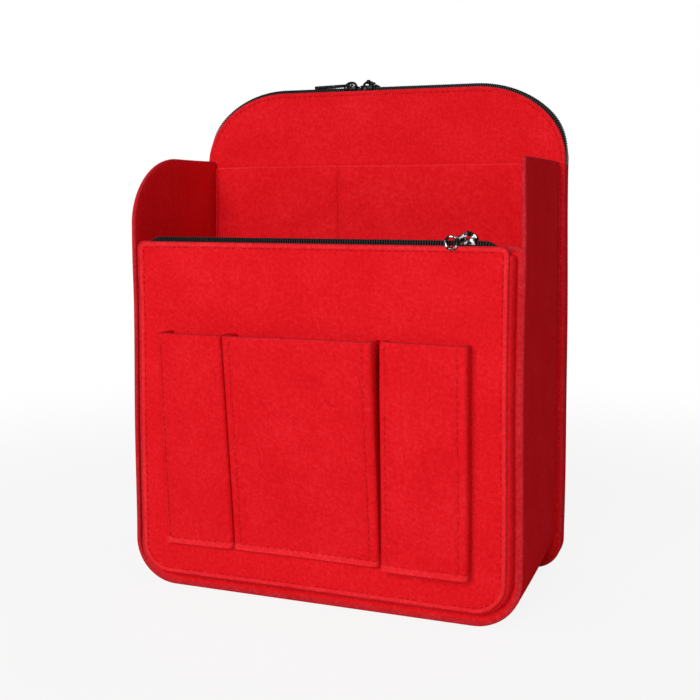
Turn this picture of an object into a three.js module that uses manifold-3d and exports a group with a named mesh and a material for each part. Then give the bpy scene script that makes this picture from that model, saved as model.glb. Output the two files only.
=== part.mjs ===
// Felt organiser insert: an open box of thick felt with a flat zipped pocket on its front, three outer
// pockets on that, slip pockets inside, and a tall zipped sleeve at the back.
// Millimetres, +Z up. The front faces -Y, and the origin is the middle of the base, on the ground.
import * as THREE from 'three';
import { mergeVertices } from 'three/addons/utils/BufferGeometryUtils.js';
import Module from 'manifold-3d';

// Felt and seams
const FELT = 3;
const SEAM_GAP = 0.3;
const ARC_STEPS = 14;

// Body: side walls and base in one strip, with the main front panel sewn inside its front edge
const BODY_WIDTH = 265;
const BODY_DEPTH = 117;
const BODY_CORNER = 30;
const LEFT_WALL_TOP = 288;
const RIGHT_WALL_TOP = 284;
const LEFT_ROUND_DEPTH = 60;
const LEFT_ROUND_HEIGHT = 46;
const FRONT_TOP = 231;
const FRONT_TOP_CORNER = 5;

// Front zip panel, set in from the body's outline, with a shallow zipped space behind it
const FRONT_SIDE_INSET = 9.5;
const FRONT_BASE_INSET = 13;
const FRONT_CORNER = 20;
const FRONT_SPACE = 5;
const FRONT_EDGE_STEP = 1.2;

// Outer pockets: a row on the front zip panel, where the middle pocket takes the width that is left
const ROW_LEFT_MARGIN = 23.5;
const ROW_RIGHT_MARGIN = 20;
const ROW_BASE = 33;
const POCKET_HEIGHT = 140;
const LEFT_POCKET_WIDTH = 45.5;
const RIGHT_POCKET_WIDTH = 54.5;
const POCKET_GAP = 2.5;
const FULL_POCKET_FOOT = 4;
const FULL_POCKET_MOUTH = 18;
const SLIM_POCKET_FOOT = 8.5;
const SLIM_POCKET_MOUTH = 11;

// Slip panel inside the back of the main space, sewn down at its divider
const SLIP_TOP = 283;
const SLIP_DEEP = 195;
const SLIP_SPACE = 6;
const LEFT_SLIP_WIDTH = 99;

// Tall sleeve at the back
const SLEEVE_FLANGE = 4;
const SLEEVE_TOP = 337;
const SLEEVE_ROUND_WIDTH = 64;
const SLEEVE_ROUND_HEIGHT = 52;
const SLEEVE_CORNER = 20;
const SLEEVE_SPACE = 8;
const SLEEVE_ZIP_TAIL = 2;

// Zips: tape sewn to the felt's inner face, and two rows of teeth that stand proud of the felt's edge
const TAPE_DROP = 12;
const FRONT_TAPE = 0.5;
const SLEEVE_TAPE = 0.75;
const TEETH_PART = 0.5;
const TEETH_SUNK = 1.5;
const FRONT_TEETH_PROUD = 3;
const SLEEVE_TEETH_PROUD = 2.5;

// Sliders, their bails and where they rest
const SLIDER_LENGTH = 11;
const SLIDER_WALL = 1;
const SLIDER_ROUND = 0.8;
const RUN_GAP = 0.3;
const BAIL_BAR = 1.2;
const BAIL_SPAN = 4.4;
const BAIL_SPREAD = 0.8;
const BAIL_ROOT = 0.4;
const FRONT_SLIDER_FROM_END = 20.5;
const SLEEVE_SLIDER_LEFT_X = -21.5;
const SLEEVE_SLIDER_GAP = 2;

// Pulls
const PULL_THICK = 1.2;
const EYE_PLAY = 0.4;
const EYE_RIM = 1.15;
const EYE_WIDE = 1.6;
const EYE_STEPS = 16;
const RING_WIDTH = 9;
const RING_REACH = 15;
const RING_RIM = 1.8;
const LINK_WIDTH = 2.6;
const RING_SLANT = Math.PI / 3;
const TAB_WIDTH = 5;
const TAB_LENGTH = 29;
const TAB_END_BAR = 1.3;
const TAB_SLOT_GAP = 0.4;
const HANG_GAP = 0.4;

// How far a cutting shape runs past what it cuts
const OVERCUT = 5;
// Vertices closer than this are one vertex
const WELD = 1e-4;

// Planes across the depth, worked out from front to back
const BODY_FRONT = -BODY_DEPTH / 2;
const BODY_BACK = BODY_DEPTH / 2;
const FRONT_PANEL_BACK = BODY_FRONT - FRONT_SPACE;
const FRONT_PANEL_FACE = FRONT_PANEL_BACK - FELT;
const SLEEVE_INSIDE_FRONT = BODY_BACK + FELT;
const SLEEVE_INSIDE_BACK = SLEEVE_INSIDE_FRONT + SLEEVE_SPACE;
const SLEEVE_BACK = SLEEVE_INSIDE_BACK + FELT;
const BODY_HALF = BODY_WIDTH / 2;
const FRONT_HALF = BODY_HALF - FRONT_SIDE_INSET;
const SLEEVE_HALF = BODY_HALF + SLEEVE_FLANGE;
const SLEEVE_ROUND = { wide: SLEEVE_ROUND_WIDTH, high: SLEEVE_ROUND_HEIGHT };
const SLEEVE_ROUND_LOW = SLEEVE_TOP - SLEEVE_ROUND_HEIGHT;
const SLEEVE_ZIP_FOOT = SLEEVE_ROUND_LOW - SLEEVE_ZIP_TAIL;
const FRONT_ROUND = { wide: FRONT_TOP_CORNER, high: FRONT_TOP_CORNER };
const QUARTER = Math.PI / 2;

// The pull's eye turns freely round the square bail bar, and the bail leaves room for the eye
const EYE_INNER = BAIL_BAR * Math.SQRT1_2 + EYE_PLAY;
const EYE_OUTER = EYE_INNER + EYE_RIM;
const BAIL_ROOM = EYE_OUTER - BAIL_BAR / 2 + EYE_PLAY;
const BAIL_REACH = BAIL_SPAN / 2 + BAIL_SPREAD + BAIL_BAR;

const wasm = await Module();
wasm.setup();

function toSolid(geometry) {
  const bare = geometry.clone();
  bare.deleteAttribute('normal');
  bare.deleteAttribute('uv');
  const welded = mergeVertices(bare, WELD);
  return new wasm.Manifold(new wasm.Mesh({
    numProp: 3,
    vertProperties: welded.attributes.position.array,
    triVerts: new Uint32Array(welded.index.array),
  }));
}

function toGeometry(solid) {
  const result = solid.getMesh();
  const geometry = new THREE.BufferGeometry();
  geometry.setAttribute('position', new THREE.BufferAttribute(result.vertProperties, 3));
  geometry.setIndex(new THREE.BufferAttribute(result.triVerts, 1));
  geometry.computeVertexNormals();
  return geometry;
}

// A shape drawn in X and Z, given depth from one Y to another
function slab(shape, frontY, backY, steps = ARC_STEPS) {
  const geometry = new THREE.ExtrudeGeometry(shape, {
    depth: backY - frontY,
    bevelEnabled: false,
    curveSegments: steps,
  });
  return geometry.rotateX(QUARTER).translate(0, backY, 0);
}

// A shape drawn in Y and Z, given length from one X to another
function bar(shape, leftX, rightX, steps = ARC_STEPS) {
  const geometry = new THREE.ExtrudeGeometry(shape, {
    depth: rightX - leftX,
    bevelEnabled: false,
    curveSegments: steps,
  });
  return geometry.rotateX(QUARTER).rotateZ(QUARTER).translate(leftX, 0, 0);
}

function block(lowX, highX, lowY, highY, lowZ, highZ) {
  const geometry = new THREE.BoxGeometry(highX - lowX, highY - lowY, highZ - lowZ);
  return geometry.translate((lowX + highX) / 2, (lowY + highY) / 2, (lowZ + highZ) / 2);
}

// A flat panel with round bottom corners and elliptical top corners
function panelOutline(half, bottom, top, corner, round) {
  const shape = new THREE.Shape();
  shape.moveTo(-half + corner, bottom);
  shape.lineTo(half - corner, bottom);
  shape.absarc(half - corner, bottom + corner, corner, -QUARTER, 0, false);
  shape.lineTo(half, top - round.high);
  shape.absellipse(half - round.wide, top - round.high, round.wide, round.high, 0, QUARTER, false);
  shape.lineTo(-half + round.wide, top);
  shape.absellipse(-half + round.wide, top - round.high, round.wide, round.high, QUARTER, 2 * QUARTER, false);
  shape.lineTo(-half, bottom + corner);
  shape.absarc(-half + corner, bottom + corner, corner, 2 * QUARTER, 3 * QUARTER, false);
  return shape;
}

// A strip bent into a U, open at the top, with its left and right ends each at their own height
function troughOutline(half, bottom, leftTop, rightTop, corner, thick) {
  const side = half - corner;
  const turn = bottom + corner;
  const inner = corner - thick;
  const shape = new THREE.Shape();
  shape.moveTo(-half, leftTop);
  shape.lineTo(-half, turn);
  shape.absarc(-side, turn, corner, 2 * QUARTER, 3 * QUARTER, false);
  shape.lineTo(side, bottom);
  shape.absarc(side, turn, corner, 3 * QUARTER, 4 * QUARTER, false);
  shape.lineTo(half, rightTop);
  shape.lineTo(half - thick, rightTop);
  shape.lineTo(half - thick, turn);
  shape.absarc(side, turn, inner, 4 * QUARTER, 3 * QUARTER, true);
  shape.lineTo(-side, bottom + thick);
  shape.absarc(-side, turn, inner, 3 * QUARTER, 2 * QUARTER, true);
  shape.lineTo(-half + thick, leftTop);
  return shape;
}

// A strip that follows the sleeve's top edge: it stands out from the felt's edge and reaches into it
function archOutline(out, deep) {
  const round = SLEEVE_ROUND;
  const leftX = -SLEEVE_HALF + round.wide;
  const rightX = SLEEVE_HALF - round.wide;
  const roundZ = SLEEVE_ROUND_LOW;
  const shape = new THREE.Shape();
  shape.moveTo(SLEEVE_HALF + out, SLEEVE_ZIP_FOOT);
  shape.lineTo(SLEEVE_HALF + out, roundZ);
  shape.absellipse(rightX, roundZ, round.wide + out, round.high + out, 0, QUARTER, false);
  shape.lineTo(leftX, SLEEVE_TOP + out);
  shape.absellipse(leftX, roundZ, round.wide + out, round.high + out, QUARTER, 2 * QUARTER, false);
  shape.lineTo(-SLEEVE_HALF - out, SLEEVE_ZIP_FOOT);
  shape.lineTo(-SLEEVE_HALF + deep, SLEEVE_ZIP_FOOT);
  shape.lineTo(-SLEEVE_HALF + deep, roundZ);
  shape.absellipse(leftX, roundZ, round.wide - deep, round.high - deep, 2 * QUARTER, QUARTER, true);
  shape.lineTo(rightX, SLEEVE_TOP - deep);
  shape.absellipse(rightX, roundZ, round.wide - deep, round.high - deep, QUARTER, 0, true);
  shape.lineTo(SLEEVE_HALF - deep, SLEEVE_ZIP_FOOT);
  return shape;
}

// The strip of side walls and base, with the left wall's upper front corner rounded away
function gussetGeometry() {
  const outline = troughOutline(BODY_HALF, 0, LEFT_WALL_TOP, RIGHT_WALL_TOP, BODY_CORNER, FELT);
  const strip = slab(outline, BODY_FRONT, BODY_BACK);
  const start = LEFT_WALL_TOP - LEFT_ROUND_HEIGHT;
  const corner = new THREE.Shape();
  corner.moveTo(BODY_FRONT, start);
  corner.absellipse(BODY_FRONT + LEFT_ROUND_DEPTH, start, LEFT_ROUND_DEPTH, LEFT_ROUND_HEIGHT,
    2 * QUARTER, QUARTER, true);
  corner.lineTo(BODY_FRONT + LEFT_ROUND_DEPTH, LEFT_WALL_TOP + OVERCUT);
  corner.lineTo(BODY_FRONT - OVERCUT, LEFT_WALL_TOP + OVERCUT);
  corner.lineTo(BODY_FRONT - OVERCUT, start);
  const cutter = bar(corner, -BODY_HALF - OVERCUT, -BODY_HALF + FELT + OVERCUT);
  return toGeometry(toSolid(strip).subtract(toSolid(cutter)));
}

function mainFrontPanelGeometry() {
  const inset = FELT + SEAM_GAP;
  const outline = panelOutline(BODY_HALF - inset, inset, FRONT_TOP, BODY_CORNER - inset, FRONT_ROUND);
  return slab(outline, BODY_FRONT, BODY_FRONT + FELT);
}

function frontZipPanelGeometry() {
  const outline = panelOutline(FRONT_HALF, FRONT_BASE_INSET, FRONT_TOP, FRONT_CORNER, FRONT_ROUND);
  return slab(outline, FRONT_PANEL_FACE, FRONT_PANEL_BACK);
}

// The strip behind the front zip panel, which stands out a little past the panel's outline
function frontPocketEdgeGeometry() {
  const step = FRONT_EDGE_STEP;
  const top = FRONT_TOP - FRONT_TOP_CORNER;
  const outline = troughOutline(FRONT_HALF + step, FRONT_BASE_INSET - step, top, top,
    FRONT_CORNER + step, FELT + step);
  return slab(outline, FRONT_PANEL_BACK, BODY_FRONT);
}

// An outer pocket: front, sides and base folded from one felt, open above and against the panel behind
function outerPocketGeometry(width, foot, mouth) {
  const outer = new THREE.Shape();
  outer.moveTo(0, 0);
  outer.lineTo(-foot, 0);
  outer.lineTo(-mouth, POCKET_HEIGHT);
  outer.lineTo(0, POCKET_HEIGHT);
  const slope = (mouth - foot) / POCKET_HEIGHT;
  const overTop = POCKET_HEIGHT + OVERCUT;
  const hollow = new THREE.Shape();
  hollow.moveTo(OVERCUT, FELT);
  hollow.lineTo(-foot - slope * FELT + FELT, FELT);
  hollow.lineTo(-foot - slope * overTop + FELT, overTop);
  hollow.lineTo(OVERCUT, overTop);
  const half = width / 2;
  const inner = half - FELT;
  return toGeometry(toSolid(bar(outer, -half, half)).subtract(toSolid(bar(hollow, -inner, inner))));
}

// The slip panel: its edges and its divider are sewn to the sleeve's front panel, and its top is open
function slipPanelGeometry() {
  const half = BODY_HALF - FELT - SEAM_GAP;
  const face = BODY_BACK - SLIP_SPACE - FELT;
  const base = SLIP_TOP - SLIP_DEEP;
  const divider = -half + FELT + LEFT_SLIP_WIDTH;
  const spans = [[-half + FELT, divider], [divider + FELT, half - FELT]];
  let panel = toSolid(block(-half, half, face, BODY_BACK, base, SLIP_TOP));
  for (const [left, right] of spans) {
    const space = block(left, right, face + FELT, BODY_BACK + OVERCUT, base + FELT, SLIP_TOP + OVERCUT);
    panel = panel.subtract(toSolid(space));
  }
  return toGeometry(panel);
}

function sleevePanelGeometry(frontY) {
  const outline = panelOutline(SLEEVE_HALF, 0, SLEEVE_TOP, SLEEVE_CORNER, SLEEVE_ROUND);
  return slab(outline, frontY, frontY + FELT);
}

function sleeveEdgeGeometry() {
  const top = SLEEVE_ZIP_FOOT - SEAM_GAP;
  const outline = troughOutline(SLEEVE_HALF, 0, top, top, SLEEVE_CORNER, FELT);
  return slab(outline, SLEEVE_INSIDE_FRONT, SLEEVE_INSIDE_BACK);
}

// Depth of one row of teeth, from the space between the felts, the tapes and the parting line
function teethDepth(space, tape) {
  return (space - 2 * tape - TEETH_PART) / 2;
}

// A slider: a saddle over the teeth with a bail on top. Its origin is level with the felt's edge.
function sliderGeometry(teethHalf, proud) {
  const inner = teethHalf + RUN_GAP;
  const outer = inner + SLIDER_WALL;
  const ceiling = proud + RUN_GAP;
  const roof = ceiling + SLIDER_WALL;
  const saddle = new THREE.Shape();
  saddle.moveTo(-outer, RUN_GAP);
  saddle.lineTo(-outer, roof - SLIDER_ROUND);
  saddle.absarc(-outer + SLIDER_ROUND, roof - SLIDER_ROUND, SLIDER_ROUND, 2 * QUARTER, QUARTER, true);
  saddle.lineTo(outer - SLIDER_ROUND, roof);
  saddle.absarc(outer - SLIDER_ROUND, roof - SLIDER_ROUND, SLIDER_ROUND, QUARTER, 0, true);
  saddle.lineTo(outer, RUN_GAP);
  saddle.lineTo(inner, RUN_GAP);
  saddle.lineTo(inner, ceiling);
  saddle.lineTo(-inner, ceiling);
  saddle.lineTo(-inner, RUN_GAP);
  const body = bar(saddle, -SLIDER_LENGTH / 2, SLIDER_LENGTH / 2, EYE_STEPS / 4);
  const half = BAIL_SPAN / 2;
  const rise = roof + BAIL_ROOM;
  const sunk = roof - BAIL_ROOT;
  const arch = new THREE.Shape();
  arch.moveTo(-BAIL_REACH, sunk);
  arch.lineTo(-half - BAIL_BAR / 2, rise + BAIL_BAR);
  arch.lineTo(half + BAIL_BAR / 2, rise + BAIL_BAR);
  arch.lineTo(BAIL_REACH, sunk);
  arch.lineTo(half + BAIL_SPREAD, sunk);
  arch.lineTo(half, rise);
  arch.lineTo(-half, rise);
  arch.lineTo(-half - BAIL_SPREAD, sunk);
  const bail = slab(arch, -BAIL_BAR / 2, BAIL_BAR / 2);
  return toGeometry(toSolid(body).add(toSolid(bail)));
}

// Height of the slider's roof and of the middle of its bail bar, above the felt's edge
function sliderRoof(proud) {
  return proud + RUN_GAP + SLIDER_WALL;
}

function bailBarHeight(proud) {
  return sliderRoof(proud) + BAIL_ROOM + BAIL_BAR / 2;
}

// A flat plate with a round end and a slot, drawn in X and Z and hanging down from the bail bar
function pullPlate(width, length, rim) {
  const half = width / 2;
  const top = PULL_THICK / 2;
  const low = top - length + half;
  const shape = new THREE.Shape();
  shape.moveTo(half, top);
  shape.lineTo(-half, top);
  shape.lineTo(-half, low);
  shape.absarc(0, low, half, 2 * QUARTER, 4 * QUARTER, false);
  const hole = new THREE.Path();
  hole.moveTo(half - rim, low);
  hole.absarc(0, low, half - rim, 0, -2 * QUARTER, true);
  hole.lineTo(-half + rim, top - rim);
  hole.lineTo(half - rim, top - rim);
  shape.holes.push(hole);
  return shape;
}

// A round ring at the end of a flat link, drawn in X and Z and hanging down from the bail bar
function ringPlate() {
  const radius = RING_WIDTH / 2;
  const middle = -RING_REACH + radius;
  const half = LINK_WIDTH / 2;
  const meet = Math.asin(half / radius);
  const shape = new THREE.Shape();
  shape.moveTo(half, half);
  shape.lineTo(-half, half);
  shape.absarc(0, middle, radius, QUARTER + meet, 5 * QUARTER - meet, false);
  const hole = new THREE.Path();
  hole.absarc(0, middle, radius - RING_RIM, 0, 4 * QUARTER, true);
  shape.holes.push(hole);
  return shape;
}

// A pull that hangs beside the zip: an eye round the bail bar, an arm out over the felt's edge and a
// plate hanging down. Its origin is the middle of the bail bar. Reach is the plate's middle, in Y.
function hangingPullGeometry(reach, outline, slant) {
  const eye = new THREE.Shape();
  eye.absarc(0, 0, EYE_OUTER, 0, 4 * QUARTER, false);
  const eyeHole = new THREE.Path();
  eyeHole.absarc(0, 0, EYE_INNER, 0, 4 * QUARTER, true);
  eye.holes.push(eyeHole);
  const side = Math.sign(reach);
  const armStart = side * (EYE_INNER + EYE_OUTER) / 2;
  const armEnd = reach + side * PULL_THICK / 2;
  const arm = block(-EYE_WIDE / 2, EYE_WIDE / 2, Math.min(armStart, armEnd), Math.max(armStart, armEnd),
    -PULL_THICK / 2, PULL_THICK / 2);
  const plate = slab(outline, reach - PULL_THICK / 2, reach + PULL_THICK / 2, EYE_STEPS / 2);
  plate.rotateY(slant);
  const loop = toSolid(bar(eye, -EYE_WIDE / 2, EYE_WIDE / 2, EYE_STEPS));
  return toGeometry(loop.add(toSolid(arm)).add(toSolid(plate)));
}

// A pull that lies along the zip: its end bar sits under the bail, and its slot clears the bail's leg.
// Its origin is the middle of the end bar, and it points along -X.
function lyingPullGeometry() {
  const half = TAB_WIDTH / 2;
  const start = TAB_END_BAR / 2;
  const shape = new THREE.Shape();
  shape.moveTo(start, -half);
  shape.lineTo(start, half);
  shape.lineTo(-TAB_LENGTH + half, half);
  shape.absarc(-TAB_LENGTH + half, 0, half, QUARTER, 3 * QUARTER, false);
  const slotHalf = BAIL_BAR / 2 + TAB_SLOT_GAP;
  const slotEnd = -BAIL_REACH - TAB_SLOT_GAP;
  const slot = new THREE.Path();
  slot.moveTo(-start, -slotHalf);
  slot.lineTo(slotEnd, -slotHalf);
  slot.lineTo(slotEnd, slotHalf);
  slot.lineTo(-start, slotHalf);
  shape.holes.push(slot);
  const geometry = new THREE.ExtrudeGeometry(shape, {
    depth: PULL_THICK,
    bevelEnabled: false,
    curveSegments: EYE_STEPS / 2,
  });
  return geometry.translate(0, 0, -PULL_THICK / 2);
}

function felt() {
  return new THREE.MeshStandardMaterial({ color: 0xd8161f, roughness: 0.95, metalness: 0 });
}

function zipTape() {
  return new THREE.MeshStandardMaterial({ color: 0x141214, roughness: 0.85, metalness: 0 });
}

function zipTeeth() {
  return new THREE.MeshStandardMaterial({ color: 0x0c0b0c, roughness: 0.4, metalness: 0 });
}

function gunmetal() {
  return new THREE.MeshStandardMaterial({ color: 0x3a383b, roughness: 0.28, metalness: 1 });
}

const insert = new THREE.Group();

function place(parent, name, geometry, material, x = 0, y = 0, z = 0) {
  const mesh = new THREE.Mesh(geometry, material);
  mesh.name = name;
  mesh.position.set(x, y, z);
  parent.add(mesh);
  return mesh;
}

function addBody() {
  place(insert, 'side_base_gusset', gussetGeometry(), felt());
  place(insert, 'main_front_panel', mainFrontPanelGeometry(), felt());
  place(insert, 'inner_slip_panel', slipPanelGeometry(), felt());
}

function addFrontPocket() {
  place(insert, 'front_zip_panel', frontZipPanelGeometry(), felt());
  place(insert, 'front_pocket_edge', frontPocketEdgeGeometry(), felt());
}

function addOuterPockets() {
  const row = new THREE.Group();
  row.position.set(-FRONT_HALF + ROW_LEFT_MARGIN, FRONT_PANEL_FACE, ROW_BASE);
  const rowWidth = 2 * FRONT_HALF - ROW_LEFT_MARGIN - ROW_RIGHT_MARGIN;
  const middleWidth = rowWidth - LEFT_POCKET_WIDTH - RIGHT_POCKET_WIDTH - 2 * POCKET_GAP;
  const pockets = [
    ['outer_pocket_left', LEFT_POCKET_WIDTH, FULL_POCKET_FOOT, FULL_POCKET_MOUTH],
    ['outer_pocket_middle', middleWidth, FULL_POCKET_FOOT, FULL_POCKET_MOUTH],
    ['outer_pocket_right', RIGHT_POCKET_WIDTH, SLIM_POCKET_FOOT, SLIM_POCKET_MOUTH],
  ];
  let x = 0;
  for (const [name, width, foot, mouth] of pockets) {
    place(row, name, outerPocketGeometry(width, foot, mouth), felt(), x + width / 2);
    x += width + POCKET_GAP;
  }
  insert.add(row);
}

function addSleeve() {
  place(insert, 'sleeve_front_panel', sleevePanelGeometry(BODY_BACK), felt());
  place(insert, 'sleeve_rear_panel', sleevePanelGeometry(SLEEVE_INSIDE_BACK), felt());
  place(insert, 'sleeve_edge', sleeveEdgeGeometry(), felt());
}

function addFrontZip() {
  const half = FRONT_HALF - FELT - SEAM_GAP;
  const depth = teethDepth(FRONT_SPACE, FRONT_TAPE);
  const tapeLow = FRONT_TOP - TAPE_DROP;
  const outerTape = FRONT_PANEL_BACK + FRONT_TAPE;
  const innerTape = BODY_FRONT - FRONT_TAPE;
  const teethLow = FRONT_TOP - TEETH_SUNK;
  const teethHigh = FRONT_TOP + FRONT_TEETH_PROUD;
  place(insert, 'front_zip_tape_outer',
    block(-half, half, FRONT_PANEL_BACK, outerTape, tapeLow, FRONT_TOP), zipTape());
  place(insert, 'front_zip_tape_inner',
    block(-half, half, innerTape, BODY_FRONT, tapeLow, FRONT_TOP), zipTape());
  place(insert, 'front_zip_teeth_outer',
    block(-half, half, outerTape, outerTape + depth, teethLow, teethHigh), zipTeeth());
  place(insert, 'front_zip_teeth_inner',
    block(-half, half, innerTape - depth, innerTape, teethLow, teethHigh), zipTeeth());
  const slider = new THREE.Group();
  slider.position.set(half - FRONT_SLIDER_FROM_END, (FRONT_PANEL_BACK + BODY_FRONT) / 2, FRONT_TOP);
  place(slider, 'front_zip_slider', sliderGeometry(depth + TEETH_PART / 2, FRONT_TEETH_PROUD), gunmetal());
  const reach = -(FRONT_SPACE / 2 + FELT + HANG_GAP + PULL_THICK / 2);
  place(slider, 'front_zip_pull', hangingPullGeometry(reach, ringPlate(), RING_SLANT), gunmetal(),
    0, 0, bailBarHeight(FRONT_TEETH_PROUD));
  insert.add(slider);
}

function addSleeveZip() {
  const depth = teethDepth(SLEEVE_SPACE, SLEEVE_TAPE);
  const tape = archOutline(0, TAPE_DROP);
  const teeth = archOutline(SLEEVE_TEETH_PROUD, TEETH_SUNK);
  const frontTape = SLEEVE_INSIDE_FRONT + SLEEVE_TAPE;
  const rearTape = SLEEVE_INSIDE_BACK - SLEEVE_TAPE;
  place(insert, 'sleeve_zip_tape_front', slab(tape, SLEEVE_INSIDE_FRONT, frontTape), zipTape());
  place(insert, 'sleeve_zip_tape_rear', slab(tape, rearTape, SLEEVE_INSIDE_BACK), zipTape());
  place(insert, 'sleeve_zip_teeth_front', slab(teeth, frontTape, frontTape + depth), zipTeeth());
  place(insert, 'sleeve_zip_teeth_rear', slab(teeth, rearTape - depth, rearTape), zipTeeth());
  const middle = (SLEEVE_INSIDE_FRONT + SLEEVE_INSIDE_BACK) / 2;
  const slider = sliderGeometry(depth + TEETH_PART / 2, SLEEVE_TEETH_PROUD);

  const left = new THREE.Group();
  left.position.set(SLEEVE_SLIDER_LEFT_X, middle, SLEEVE_TOP);
  place(left, 'sleeve_zip_slider_left', slider, gunmetal());
  const underBail = sliderRoof(SLEEVE_TEETH_PROUD) + BAIL_ROOM / 2;
  const lying = place(left, 'sleeve_zip_pull_left', lyingPullGeometry(), gunmetal(), 0, 0, underBail);
  const drop = underBail - PULL_THICK / 2 - SLEEVE_TEETH_PROUD - RUN_GAP;
  lying.rotation.y = -Math.asin(drop / TAB_LENGTH);
  insert.add(left);

  const right = new THREE.Group();
  right.position.set(SLEEVE_SLIDER_LEFT_X + SLIDER_LENGTH + SLEEVE_SLIDER_GAP, middle, SLEEVE_TOP);
  place(right, 'sleeve_zip_slider_right', slider.clone(), gunmetal());
  const reach = SLEEVE_BACK - middle + HANG_GAP + PULL_THICK / 2;
  const hanging = hangingPullGeometry(reach, pullPlate(TAB_WIDTH, TAB_LENGTH, TAB_END_BAR), 0);
  place(right, 'sleeve_zip_pull_right', hanging, gunmetal(), 0, 0, bailBarHeight(SLEEVE_TEETH_PROUD));
  insert.add(right);
}

addBody();
addFrontPocket();
addOuterPockets();
addSleeve();
addFrontZip();
addSleeveZip();

export default insert;
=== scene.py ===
# %% [markdown]
# # A red felt organiser insert
# The insert is an open box of thick felt that stands inside a bag. Its solids are already built and
# jointed. This lesson dresses them: each solid of felt is replaced by a sheet that is cut flat, sewn and
# folded, as a maker would do it, and the zips get their tapes, teeth, sliders and pulls.

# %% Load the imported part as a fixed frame
import math

import bmesh
import bpy
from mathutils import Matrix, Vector, noise


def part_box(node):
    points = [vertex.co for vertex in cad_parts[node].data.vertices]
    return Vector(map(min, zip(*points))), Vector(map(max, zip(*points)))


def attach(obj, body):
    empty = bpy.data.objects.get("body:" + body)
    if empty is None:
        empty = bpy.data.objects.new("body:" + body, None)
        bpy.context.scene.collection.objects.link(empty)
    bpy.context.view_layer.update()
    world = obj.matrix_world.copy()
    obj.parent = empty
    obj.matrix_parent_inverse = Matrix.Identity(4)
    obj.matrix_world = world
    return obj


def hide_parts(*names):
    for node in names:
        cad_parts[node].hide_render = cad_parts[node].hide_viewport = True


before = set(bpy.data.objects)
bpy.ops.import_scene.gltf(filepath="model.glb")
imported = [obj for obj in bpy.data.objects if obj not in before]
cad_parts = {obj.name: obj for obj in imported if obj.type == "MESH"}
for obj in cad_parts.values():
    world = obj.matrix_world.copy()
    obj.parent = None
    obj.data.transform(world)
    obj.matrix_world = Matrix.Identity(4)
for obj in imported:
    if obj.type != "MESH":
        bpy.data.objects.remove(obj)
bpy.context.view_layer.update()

MM = 0.001

# %% [markdown]
# ## Helpers for working by hand in code
# An operator acts on whatever is selected, so every step first leaves edit mode and selects nothing. In
# edit mode a modeller clicks on corners. Here a small test on each corner's place does the clicking. A
# finished piece sits at the origin, unturned and unscaled, so its place goes into its mesh.


# %% Helpers for a clean start and for picking corners
def enter_edit():
    bpy.ops.object.mode_set(mode="EDIT")


def leave_edit():
    bpy.ops.object.mode_set(mode="OBJECT")


def start_clean():
    if bpy.context.object and bpy.context.object.mode != "OBJECT":
        leave_edit()
    bpy.ops.object.select_all(action="DESELECT")


def make_active(piece):
    start_clean()
    piece.select_set(True)
    bpy.context.view_layer.objects.active = piece


def pick(piece, test):
    bpy.ops.mesh.select_mode(type="VERT")
    bpy.ops.mesh.select_all(action="DESELECT")
    mesh = bmesh.from_edit_mesh(piece.data)
    for corner in mesh.verts:
        corner.select = bool(test(corner.co))
    mesh.select_flush(True)
    bmesh.update_edit_mesh(piece.data)


def settle(piece):
    """Put a piece's place, turn and scale into its mesh."""
    make_active(piece)
    bpy.ops.object.transform_apply(location=True, rotation=True, scale=True)


def apply_modifiers(piece):
    make_active(piece)
    for modifier in list(piece.modifiers):
        bpy.ops.object.modifier_apply(modifier=modifier.name)


# %% [markdown]
# ## Colours and nodes
# Colours are written as the sRGB hex values that a colour picker shows, and Blender works in linear light,
# so one function turns the one into the other. Another adds a shader node with its settings and links.
# Colours and numbers that are the same all over a surface go straight to the shader's own sockets.


# %% Helpers for materials
def linear(hex_colour):
    shares = [int(hex_colour[i:i + 2], 16) / 255 for i in (1, 3, 5)]
    return [s / 12.92 if s <= 0.04045 else ((s + 0.055) / 1.055) ** 2.4 for s in shares] + [1.0]


def plug(tree, node, inputs):
    for name, value in inputs.items():
        if isinstance(value, bpy.types.NodeSocket):
            tree.links.new(value, node.inputs[name])
        else:
            node.inputs[name].default_value = value


def add(tree, kind, inputs=None, **settings):
    node = tree.nodes.new(kind)
    for name, value in settings.items():
        setattr(node, name, value)
    plug(tree, node, inputs or {})
    return node


def new_material(name):
    material = bpy.data.materials.new(name)
    material.use_nodes = True
    tree = material.node_tree
    return material, tree, tree.nodes["Principled BSDF"], add(tree, "ShaderNodeTexCoord").outputs["Object"]


# %% [markdown]
# ## Needled wool-blend felt
# Felt has no weave. Barbed needles tangle loose dyed fibres into a mat, so the eye sees a matt, slightly
# cloudy red with short fibres lying in every direction, lighter flecks where fibres stand up and darker ones
# where they part. Four noises stretched along different directions give the lying fibres. The real fibres are
# 0.03 mm thick, too fine to show, so they are drawn about 0.4 mm thick. A little sheen gives the soft rim
# that standing fibres catch. Where the felt was cut, the fibres stand end on and look paler and duller.
# Outside a seam the felt swells up, and there a brighter copy of the felt is used as a painted highlight for
# the light that the swollen rim catches. The cut edge and the painted highlight get their own tones of the
# same felt.

# %% Make the felt
FIBRE_THICK = 0.4 * MM
FIBRE_LONG = 6 * MM
FLECK = 1.1 * MM
CLOUD = 28 * MM
FELT_RELIEF = 0.25 * MM
SHEEN_RED = "#FF5050"
FIBRE_TURNS = [(0.2, 0.5, 0.1), (0.4, 1.6, 1.0), (1.3, 2.5, 2.1), (2.4, 0.9, 1.4)]


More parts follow.
